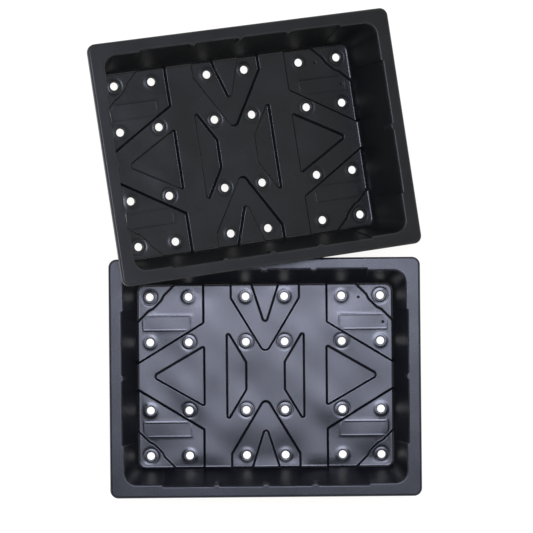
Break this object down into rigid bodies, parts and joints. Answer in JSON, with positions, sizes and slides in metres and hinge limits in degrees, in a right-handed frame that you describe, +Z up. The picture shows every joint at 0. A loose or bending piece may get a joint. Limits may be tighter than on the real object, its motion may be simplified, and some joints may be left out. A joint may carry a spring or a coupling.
{
  "type": "seed trays",
  "caption": "Half-size seed trays with relief floors, drain holes, drafted walls and turned-down rims: one lies flat, the other leans on its far rim and lifts off.",
  "frame": {"origin": "bottom centre of the pair's bounding box, on the ground", "axes": "+X along the flat tray's long side, +Y from the flat tray towards the leaning tray, +Z up"},
  "size_m": [0.2424, 0.3606, 0.1131],
  "materials": {
    "tray_plastic": "satin black"
  },
  "bodies": {
    "flat_tray": {"flat_tray": "tray_plastic"},
    "leaning_tray": {"leaning_tray": "tray_plastic"}
  },
  "joints": [
    {"name": "lift_off", "type": "slide", "parent": "flat_tray", "child": "leaning_tray", "axis": [0, 0, 1], "range_m": [0, 0.15]}
  ]
}
